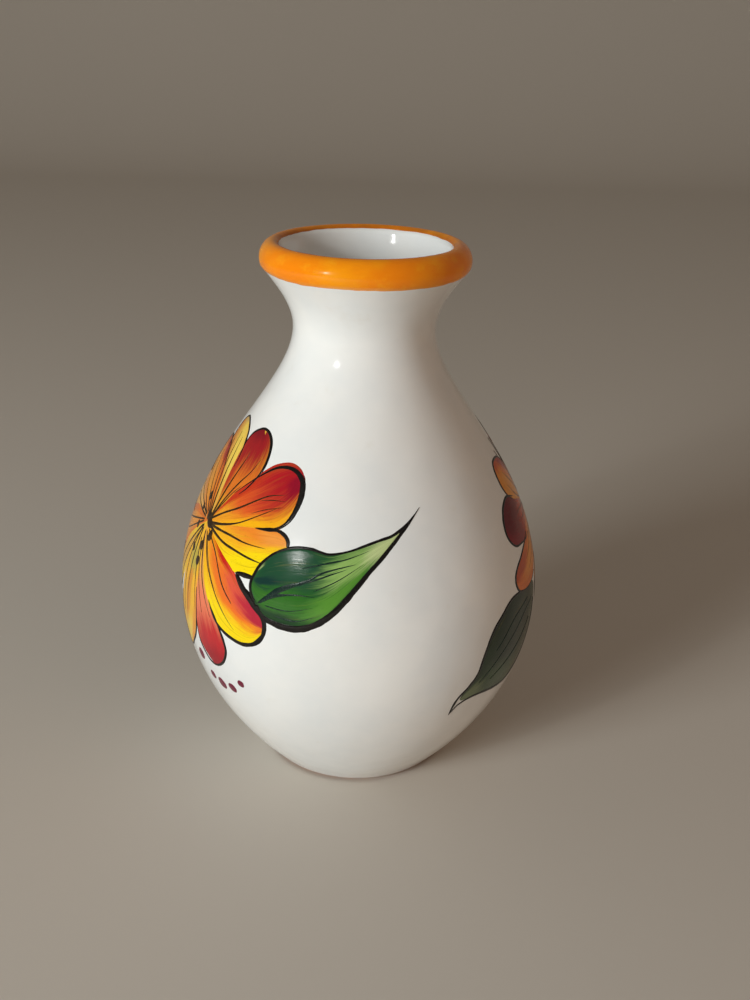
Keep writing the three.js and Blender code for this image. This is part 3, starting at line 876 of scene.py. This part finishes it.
outlines = [  # (x, y, width) through each brush line, in mm from the flower's middle
    [(7.6, 12.4, 0.25), (10.3, 15.8, 0.5), (14.5, 20.9, 0.8), (18.3, 24.7, 1.2), (21.4, 26, 1.4),
     (24.5, 26, 1.5), (27.4, 24.8, 1.7), (29.9, 22.6, 1.8), (32.2, 18, 1.9), (33, 13.4, 1.8),
     (32.6, 10, 1.5), (31.2, 7.9, 1.1), (28.9, 6.7, 0.6)],
    [(22.8, 5.5, 0.3), (25.6, 5.9, 1.1), (28.2, 6.4, 1.5), (31, 6.7, 1.1), (34, 5.7, 1.1),
     (35.9, 4.1, 1.2), (36.7, 2.3, 1.0)],
    [(-0.8, 24, 0.25), (-1.2, 28.5, 0.6), (-0.1, 31.7, 0.9), (2.4, 33.9, 1.0), (4.8, 34.8, 1.0),
     (7.9, 34.2, 1.1), (10.6, 32.2, 1.1), (12.5, 29.3, 1.1), (13.8, 25.5, 1.1), (14, 21.8, 1.0),
     (13.1, 18.3, 0.9), (11.8, 15.4, 0.7), (9.8, 12.8, 0.3)],
    [(22.4, -10, 1.4), (26.4, -13.6, 2.2), (29.5, -15.6, 2.4), (32.4, -17.9, 2.4), (35.1, -19.8, 2.1),
     (36.7, -22, 1.8), (37.2, -24.6, 1.6), (36.6, -27.3, 1.6), (34.5, -29.8, 1.6), (31.7, -31.2, 1.5),
     (28.5, -31.8, 1.5), (24.1, -31.3, 1.5), (20.2, -30.2, 1.4), (17, -28.5, 1.2), (14.5, -26, 1.0),
     (12.2, -22.8, 0.3)],
    [(22, -9.9, 0.9), (24.1, -9.5, 1.5), (26.4, -9.4, 1.7), (29.4, -9.3, 1.3)],
    [(12.4, -23.4, 0.4), (16.5, -27.5, 0.9), (18.9, -30.8, 1.0), (20.9, -34.4, 1.1), (21.5, -37.9, 1.1),
     (19.5, -42.2, 1.0), (15.7, -45.3, 0.9), (12, -45.9, 0.8), (8.8, -43.9, 0.7), (5.8, -39.9, 0.5),
     (4.5, -33, 0.3)],
    [(3.6, -22, 0.3), (4.3, -31, 0.8), (3, -38.4, 0.9), (-1.6, -44.2, 0.9), (-7.2, -48, 0.8),
     (-13.8, -40.6, 0.7), (-12.2, -30, 0.35)],
    [(0.1, 19, 0.3), (-0.1, 22.5, 0.6), (-1.6, 27.2, 0.9), (-4.6, 31.6, 0.9), (-10.7, 34, 0.8),
     (-14.8, 31.4, 0.6), (-16.4, 26.6, 0.5), (-14.4, 21.4, 0.3)],
    [(-6.5, 16.6, 0.3), (-11, 21.5, 0.6), (-14.9, 23.5, 0.8), (-20.2, 23.7, 0.9), (-23.1, 21.6, 0.9),
     (-24.9, 18, 0.9), (-25.4, 14.8, 0.8), (-24.4, 11.6, 0.7), (-21.6, 9.2, 0.4)],
    [(-20.5, 9.8, 0.4), (-24, 11.4, 0.7), (-27.6, 11.9, 0.9), (-32.3, 10.1, 1.0), (-35.9, 6.8, 1.0),
     (-37.8, 3.4, 1.0), (-38.1, 0.6, 1.0), (-36.9, -2, 0.9), (-34.4, -3.7, 0.8), (-30.4, -4.3, 0.7),
     (-25.6, -4.9, 0.6), (-19, -4.8, 0.3)],
    [(-22, -3.4, 0.4), (-29.1, -5.7, 0.7), (-33.4, -7.4, 0.8), (-38.9, -9.9, 0.9), (-41.7, -12.6, 1.0),
     (-41.9, -15.6, 1.0), (-40, -18.1, 0.9), (-34.4, -19.5, 0.8), (-28, -19.4, 0.6), (-22.4, -18, 0.3)],
    [(-19, -15.6, 0.3), (-28.2, -26, 0.8), (-26.6, -32.7, 0.8), (-18.4, -31.2, 0.7),
     (-12.4, -24.5, 0.3)],
    # leaf 1: a fine line over its back, a heavy one under its belly; they cross and run out in a point
    [(32.2, -16.4, 1.2), (30, -13.8, 1.3), (29.1, -10.8, 1.3), (29.5, -7.8, 1.4), (30.4, -4.6, 1.4),
     (32.4, -1.4, 1.3), (34.2, 0.4, 1.2), (36.7, 2, 1.2), (39.9, 3, 1.1), (43.7, 3.2, 1.0),
     (46.7, 2.7, 0.8), (49.7, 2.2, 0.8), (53.1, 2.8, 0.8), (56.2, 3.8, 0.9), (59.1, 5.2, 1.0),
     (62.9, 6.9, 1.1), (65.6, 7.8, 1.2), (67.2, 9, 1.3), (68.8, 11, 1.3), (70, 14.6, 0.3)],
    [(33, -17.2, 1.6), (35.9, -20.1, 1.9), (39.1, -21.2, 2.1), (44, -21.9, 2.3), (48.5, -21.5, 2.4),
     (53.2, -19.5, 2.5), (57.3, -15.8, 2.5), (60.2, -11.3, 2.4), (62.6, -6.2, 2.2), (64.1, -2.5, 2.0),
     (65.7, 0.8, 1.8), (66.8, 3.6, 1.7), (67.6, 6, 1.6), (68.4, 8.4, 1.3), (69.4, 11.6, 0.9),
     (70.2, 15.9, 0.15)],
    # leaf 2: its blunt end starts under the petal above it
    [(-36.4, -19, 0.4), (-40.9, -18.2, 0.9), (-46.9, -18.6, 1.1), (-52.4, -21.7, 1.2),
     (-57.3, -25.6, 1.2), (-60, -30.4, 1.2), (-61.4, -35, 1.2), (-62.1, -39.5, 1.2),
     (-64.1, -43.2, 1.2), (-66.7, -46.8, 1.1), (-67, -50, 1.1), (-66.2, -54.2, 0.2)],
    [(-25.4, -27, 0.5), (-27.4, -35.4, 1.0), (-31.4, -45.6, 1.2), (-37.4, -50.9, 1.3),
     (-44.6, -51, 1.3), (-51, -50, 1.2), (-57.4, -49, 1.1), (-62, -49.1, 1.0), (-65.2, -50.6, 0.8),
     (-66.2, -53.6, 0.2)],
]

lineOwners = {7: 8, 11: 11}  # the petal that a brush line goes with, where the flowers differ

veins = [  # fine lines that run out from the middle of the flower
    [(0.6, 0.8, 1.5), (2.4, 12, 1.2), (3.8, 20.1, 0.9), (4.6, 26, 0.12)],
    [(1.2, 1.2, 1.4), (3.5, 7.7, 1.1), (7.1, 15.5, 0.9), (9.8, 20.6, 0.6), (11.2, 25.8, 0.12)],
    [(2, 3, 0.8), (6.4, 11.6, 0.6), (9.2, 15.6, 0.12)],
    [(0.8, 0.8, 1.5), (7.5, 5.6, 1.2), (13.3, 9.4, 1.1), (18.8, 13.8, 0.9), (22.2, 16.2, 0.7),
     (27.2, 17.8, 0.12)],
    [(1.6, -0.3, 1.4), (10.1, 2.5, 1.1), (16.2, 5.2, 0.8), (22.9, 10, 0.6), (28, 14, 0.12)],
    [(19, 9.2, 0.2), (23.4, 11.8, 0.5), (29.2, 14, 0.1)],
    [(20, 14, 0.2), (24, 15.2, 0.5), (28.6, 15.8, 0.1)],
    [(2, -0.5, 1.2), (13.3, 0.2, 0.9), (21.8, 0, 0.6), (30, 0.4, 0.12)],
    [(2, -0.8, 1.3), (11.8, -2.8, 1.0), (18.9, -3.4, 0.9), (25.1, -4, 0.8), (31.4, -4.4, 0.15)],
    [(2.5, -2, 1.1), (10.4, -7.2, 0.9), (17.8, -15.6, 0.9), (23.4, -20, 0.6)],
    [(1.8, -3, 1.1), (7.1, -11.2, 0.8), (12.9, -17.4, 0.7), (20, -24, 0.6), (25.8, -28.4, 0.12)],
    [(2.6, -4, 0.9), (9, -12.6, 0.6), (15.4, -19.6, 0.12)],
    [(1, -5, 0.9), (6.5, -18, 0.7), (13.5, -28.5, 0.12)],
    [(-0.6, -6, 0.9), (1, -16, 0.8), (3.4, -30, 0.12)],
    [(0.6, -3, 0.9), (2.6, -14, 0.7), (8.4, -29, 0.12)],
    [(-1.5, -3, 1.1), (-3.5, -20, 0.8), (-4.5, -34, 0.12)],
    [(-2, -2, 1.0), (-7, -19, 0.8), (-8.5, -36, 0.12)],
    [(-0.4, 1.6, 1.2), (-3.4, 16, 0.9), (-5.6, 28, 0.15)],
    [(-1, 1.6, 1.1), (-6.2, 15, 0.8), (-9, 29, 0.15)],
    [(-2, 2, 1.1), (-8.5, 13.5, 0.8), (-12.5, 25, 0.12)],
    [(-2.5, 1.5, 1.0), (-12, 11.5, 0.7), (-18, 18.5, 0.12)],
    [(-3, 1, 0.9), (-15, 8, 0.6), (-20, 14, 0.12)],
    [(-3, 0.8, 1.0), (-15, 3.6, 0.7), (-24, 5, 0.12)],
    [(-3, 0, 1.0), (-14, 0.8, 0.7), (-23, 1.4, 0.12)],
    [(-3, -0.8, 1.0), (-18, -6.2, 0.8), (-30, -10.5, 0.12)],
    [(-3, -1.4, 1.0), (-17, -9.5, 0.7), (-29, -14.4, 0.12)],
    [(-2.6, -2.5, 1.0), (-13, -15, 0.7), (-21, -24.5, 0.12)],
    [(-2, -3, 1.0), (-10, -16.5, 0.7), (-16.5, -27, 0.12)],
]

leafVeins = [
    [(33.4, -16.6, 1.0), (36.4, -13.4, 2.2), (38.8, -11.2, 3.0), (41.9, -9.2, 2.4), (46.8, -6.7, 1.5),
     (50, -3.9, 1.2), (53.5, -2.2, 0.9), (56.6, -1.1, 0.6), (59.4, -0.2, 0.12)],
    [(33.6, -16.4, 1.3), (37.2, -13.6, 1.9), (40.9, -12.1, 1.3), (45.8, -11.2, 0.7),
     (51.2, -11.1, 0.12)],
    [(46.2, -7.4, 0.5), (49.5, -5.8, 0.9), (53, -3.9, 0.8), (57.4, -1.8, 0.12)],
    [(44, -3, 0.4), (50.4, -0.6, 0.9), (56, 1.2, 0.7), (61.4, 4, 0.12)],
    [(50, -9.4, 0.4), (56, -5.4, 0.6), (61.6, 0, 0.1)],
    [(36, -16.6, 0.5), (44, -16.6, 0.5), (51.6, -14.4, 0.1)],
    [(40, -19, 0.4), (47, -19.4, 0.6), (53, -17, 0.1)],
    [(-28, -25, 1.6), (-38, -27.5, 1.3), (-50, -35, 0.8), (-60, -43.6, 0.15)],
    [(-34, -22.8, 0.8), (-45, -25.6, 0.6), (-55, -33.4, 0.12)],
    [(-32, -31, 0.7), (-43, -38.5, 0.5), (-54, -44.6, 0.12)],
]

seeds = [  # small dark touches round the middle: x, y, size
    (-1, 1.5, 2.8), (4.5, -3.8, 3.2), (1, -8.5, 2.7), (0.8, -13.8, 2.9), (-5.9, 6.4, 2.8),
    (-4.9, -11.3, 2.5), (-7.2, -4.2, 2.4), (-8.2, 1.4, 2.2),
]

inkHeights = {  # how far each kind of stroke stands up, in mm
    "outlines": 0.17,
    "veins": 0.135,
    "leafVeins": 0.16,
    "eye": 0.16,
    "seeds": 0.18,
    "dots": 0.16,
}
eye = {"x": 1.2, "y": -0.1, "size": 3.7, "stretch": 1.6, "turn": -0.8}

leafWashes = {
    1: [
        ((24, 74, 48), 0.66, 0.24, 0.34, 0.4),
        ((146, 184, 100), 0.27, 0.42, 0.24, 0.42),
        ((196, 212, 150), 0.1, 0.5, 0.14, 0.6),
        ((88, 146, 50), 0.42, 0.84, 0.26, 0.2),
        ((44, 108, 26), 0.74, 0.76, 0.26, 0.26),
        ((18, 62, 28), 0.8, 0.98, 0.32, 0.12),
        ((150, 166, 106), 0.9, 0.05, 0.05, 0.08),
        ((12, 54, 48), 0.82, 0.46, 0.16, 0.14),
    ],
    # leaf 2 is painted in darker, greyer greens than leaf 1: painted shade
    2: [
        ((58, 84, 50), 0.3, 0.7, 0.3, 0.4),
        ((112, 128, 92), 0.06, 0.6, 0.14, 0.5),
        ((20, 44, 24), 0.6, 0.3, 0.34, 0.5),
    ],
}

ground = {"middle": (0, -1), "size": 21, "lift": 0.035}

flowers = {  # by hand, no two are alike: two petals of the right one lean away and are shorter
    "left": {"changed": {}},
    "right": {"changed": {8: {"turn": -34, "reach": 0.66}, 11: {"turn": 8, "reach": 0.84}}},
}
for side, flower in flowers.items():
    flower["azimuth"], flower["rise"] = middleOf(f"{side}_flower_eye")

petalPaints = {i: brushedPaint(f"petalPaint{i}", p["ground"], p["washes"]) for i, p in petals.items()}
shadedPetal = brushedPaint("petalPaintOchre", (222, 136, 64), [((240, 178, 90), 0.5, 0.6, 0.5, 0.4)])
# leaf 1 takes the lit copy of the leaf paint, leaf 2 a darker copy that is painted shade
leafPaints = {
    1: brushedPaint("leafPaintLit", (36, 92, 40), leafWashes[1], 0.45, (20, 60, 30), 0.1),
    2: brushedPaint("leafPaintShaded", (30, 58, 30), leafWashes[2], 0.45, (20, 60, 30), 0.1),
}
groundPaint = brushInk("groundWashPaint", (238, 160, 40), (232, 132, 34), 0.18)
ink = brushInk("blackBrushInk", (14, 12, 12), (36, 28, 24), 0.2)
veinInk = brushInk("oliveVeinInk", (46, 32, 10), (96, 66, 20), 0.22)
leafInk = brushInk("leafVeinInk", (10, 40, 34), (26, 66, 48), 0.22)
eyePaint = brushInk("flowerEyePaint", (46, 30, 12), (96, 66, 22), 0.2)
maroon = brushInk("maroonDotPaint", (112, 20, 52), (138, 44, 78), 0.18)


def altered(point, change):  # a point turned about the flower's middle and drawn in
    turn, reach = math.radians(change.get("turn", 0)), change.get("reach", 1)
    x, y, *width = point
    across = x * math.cos(turn) - y * math.sin(turn)
    up = x * math.sin(turn) + y * math.cos(turn)
    return (reach * across, reach * up, *width)


def paintPetals(side, flower):
    for number, petal in petals.items():
        bm = bmesh.new()
        change = flower["changed"].get(number, {})
        sides = [[altered(p, change) for p in petal[k]] for k in ("oneSide", "otherSide")]
        patch(bm, flower, (0, 0), sides[0], altered(petal["tip"], change), sides[1], petal["lift"])
        closeFilm(bm, film["thickness"])
        material, slot = petalPaints[number], petal["slot"]
        if number == 10 and side == "left":
            material = shadedPetal
        elif number == 10:
            slot = "petal_red"
        finishPiece(bm, f"{side}_petal_{number}", material, [f"{side}_flower_petal_{number}"])


def paintLeaves(side, flower):
    for number, leaf in leaves.items():
        bm = bmesh.new()
        patch(bm, flower, leaf["root"], leaf["oneSide"], leaf["tip"], leaf["otherSide"], leaf["lift"])
        closeFilm(bm, film["thickness"])
        node = f"{side}_flower_leaf_{number}"
        finishPiece(bm, f"{side}_leaf_{number}", leafPaints[number], [node])


def paintLines(side, flower):
    jobs = (
        (f"{side}_brush_lines", outlines, "outlines", ink, [f"{side}_flower_outlines"]),
        (f"{side}_veins", veins, "veins", veinInk, []),
        (f"{side}_leaf_veins", leafVeins, "leafVeins", leafInk, []),
    )
    for name, lines, height, material, nodes in jobs:
        bm = bmesh.new()
        for i, line in enumerate(lines):
            change = flower["changed"].get(lineOwners.get(i), {}) if lines is outlines else {}
            stroke(bm, flower, [altered(p, change) for p in line], inkHeights[height], i)
        closeFilm(bm, film["thickness"])
        finishPiece(bm, name, material, nodes)


def paintGround(side, flower):
    # a golden wash laid first, so that no bare glaze shows between the petals' roots
    bm = bmesh.new()
    blob(bm, flower, *ground["middle"], ground["size"], ground["lift"], 1.0, 0.3, 4.0)
    finishPiece(bm, f"{side}_ground_wash", groundPaint)


def paintDots(side, flower):
    bm = bmesh.new()
    blob(bm, flower, eye["x"], eye["y"], eye["size"], inkHeights["eye"], eye["stretch"], eye["turn"], 2.0)
    for i, (x, y, size) in enumerate(seeds):
        blob(bm, flower, x, y, size, inkHeights["seeds"], 1.35, 1.4 + 0.2 * (i % 3), i * 2.0)
    finishPiece(bm, f"{side}_eye", eyePaint, [f"{side}_flower_eye"])
    for number in range(1, 6):
        node = f"{side}_flower_dot_{number}"
        azimuth, rise = middleOf(node)
        low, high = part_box(node)
        here = {"azimuth": azimuth, "rise": rise}
        size = math.hypot(high.x - low.x, high.y - low.y) / mm
        bm = bmesh.new()
        blob(bm, here, 0, 0, size, inkHeights["dots"], 1.08, number * 0.7, number * 3.0)
        finishPiece(bm, f"{side}_dot_{number}", maroon, [node])


for side, flower in flowers.items():
    paintGround(side, flower)
    paintPetals(side, flower)
    paintLeaves(side, flower)
    paintLines(side, flower)
    paintDots(side, flower)
    print(f"{side} flower painted")


# floor, light and camera

studio = {  # distances are shares of the pot's height
    "eyeBack": 2.094,
    "eyeUp": 1.3906,
    "pitch": 22.751,
    "yaw": 0.755,
    "roll": 1.556,
    "lens": 43.2,
    "floorTone": (208, 201, 191),
    "worldTone": (1.0, 0.87, 0.74, 1.0),
    "world": 0.19,
    "worldInGloss": 0.16,
}


sweep = {"front": 2.0, "back": 1.4, "side": 3.0, "bend": 0.6, "bendSteps": 12, "wall": 1.3}  # in metres


def layFloor():  # a floor that sweeps up into a back wall
    bm = bmesh.new()

    def drawOut(edges, way):
        made = bmesh.ops.extrude_edge_only(bm, edges=edges)["geom"]
        moved = [g for g in made if isinstance(g, bmesh.types.BMVert)]
        bmesh.ops.translate(bm, verts=moved, vec=way)
        return [g for g in made if isinstance(g, bmesh.types.BMEdge)]

    ends = [bm.verts.new((x, -sweep["front"], 0)) for x in (-sweep["side"], sweep["side"])]
    edges = drawOut([bm.edges.new(ends)], (0, sweep["front"] + sweep["back"], 0))
    for step in range(sweep["bendSteps"]):
        here, there = (math.radians(90 * s / sweep["bendSteps"]) for s in (step, step + 1))
        back = sweep["bend"] * (math.sin(there) - math.sin(here))
        up = sweep["bend"] * (math.cos(here) - math.cos(there))
        edges = drawOut(edges, (0, back, up))
    drawOut(edges, (0, 0, sweep["wall"]))
    bmesh.ops.recalc_face_normals(bm, faces=bm.faces)
    for face in bm.faces:
        face.smooth = True
    mesh = bpy.data.meshes.new("studio_floor")
    bm.to_mesh(mesh)
    bm.free()
    floor = bpy.data.objects.new("studio_floor", mesh)
    bpy.context.scene.collection.objects.link(floor)
    finish = Finish("paleFloor", 0.85, Specular_IOR_Level=0.2)
    finish.shader.inputs["Base Color"].default_value = linear(*studio["floorTone"])
    mesh.materials.append(finish.material)


lamps = {  # place in metres, size, watts, tone, and whether the glaze mirrors it
    "key": ((-1.0, -0.97, 0.42), 0.6, 14.8, (0.96, 1.0, 0.995), False),
    "fill": ((0.9, -0.5, 0.3), 0.7, 0.9, (1.0, 0.52, 0.28), False),
    "lamp": ((-0.64, -0.75, 0.42), 0.07, 0.9, (1.0, 0.99, 0.97), True),
}


def addLamp(name, place, size, power, tone, mirrored):
    target = Vector((0, 0, potHeight * mm * 0.5))
    data = bpy.data.lights.new(name, "AREA")
    data.shape = "DISK"
    data.size = size
    data.energy = power
    data.color = tone
    lamp = bpy.data.objects.new(name, data)
    lamp.location = place
    lamp.rotation_euler = (target - Vector(place)).to_track_quat("-Z", "Y").to_euler()
    lamp.visible_glossy = mirrored
    bpy.context.scene.collection.objects.link(lamp)


def lightStudio():
    for name, values in lamps.items():
        addLamp(name, *values)
    world = bpy.data.worlds.new("studioLight")
    world.use_nodes = True
    nodes, links = world.node_tree.nodes, world.node_tree.links
    shade = nodes["Background"]
    shade.inputs["Color"].default_value = studio["worldTone"]
    ray = nodes.new("ShaderNodeLightPath")  # gloss sees a dimmer room, as in a studio with dark walls
    strength = nodes.new("ShaderNodeMapRange")
    strength.inputs["To Min"].default_value = studio["world"]
    strength.inputs["To Max"].default_value = studio["worldInGloss"]
    links.new(ray.outputs["Is Glossy Ray"], strength.inputs["Value"])
    links.new(strength.outputs["Result"], shade.inputs["Strength"])
    bpy.context.scene.world = world
    bpy.context.scene.view_settings.view_transform = "Standard"


def placeCamera():
    tall = potHeight * mm
    pitch, yaw, roll = (math.radians(studio[k]) for k in ("pitch", "yaw", "roll"))
    forward = Vector((math.sin(yaw) * math.cos(pitch), math.cos(yaw) * math.cos(pitch), -math.sin(pitch)))
    right = Vector((math.cos(yaw), -math.sin(yaw), 0))
    up = right.cross(forward)
    rightRolled = math.cos(roll) * right + math.sin(roll) * up
    upRolled = math.cos(roll) * up - math.sin(roll) * right
    data = bpy.data.cameras.new("camera")
    data.lens = studio["lens"]
    data.sensor_width = 36
    data.clip_start = 0.01
    camera = bpy.data.objects.new("camera", data)
    turn = Matrix((rightRolled, upRolled, -forward)).transposed().to_4x4()
    place = Matrix.Translation((0, -studio["eyeBack"] * tall, studio["eyeUp"] * tall))
    camera.matrix_world = place @ turn
    bpy.context.scene.collection.objects.link(camera)
    bpy.context.scene.camera = camera


layFloor()
lightStudio()
placeCamera()
print("studio set")
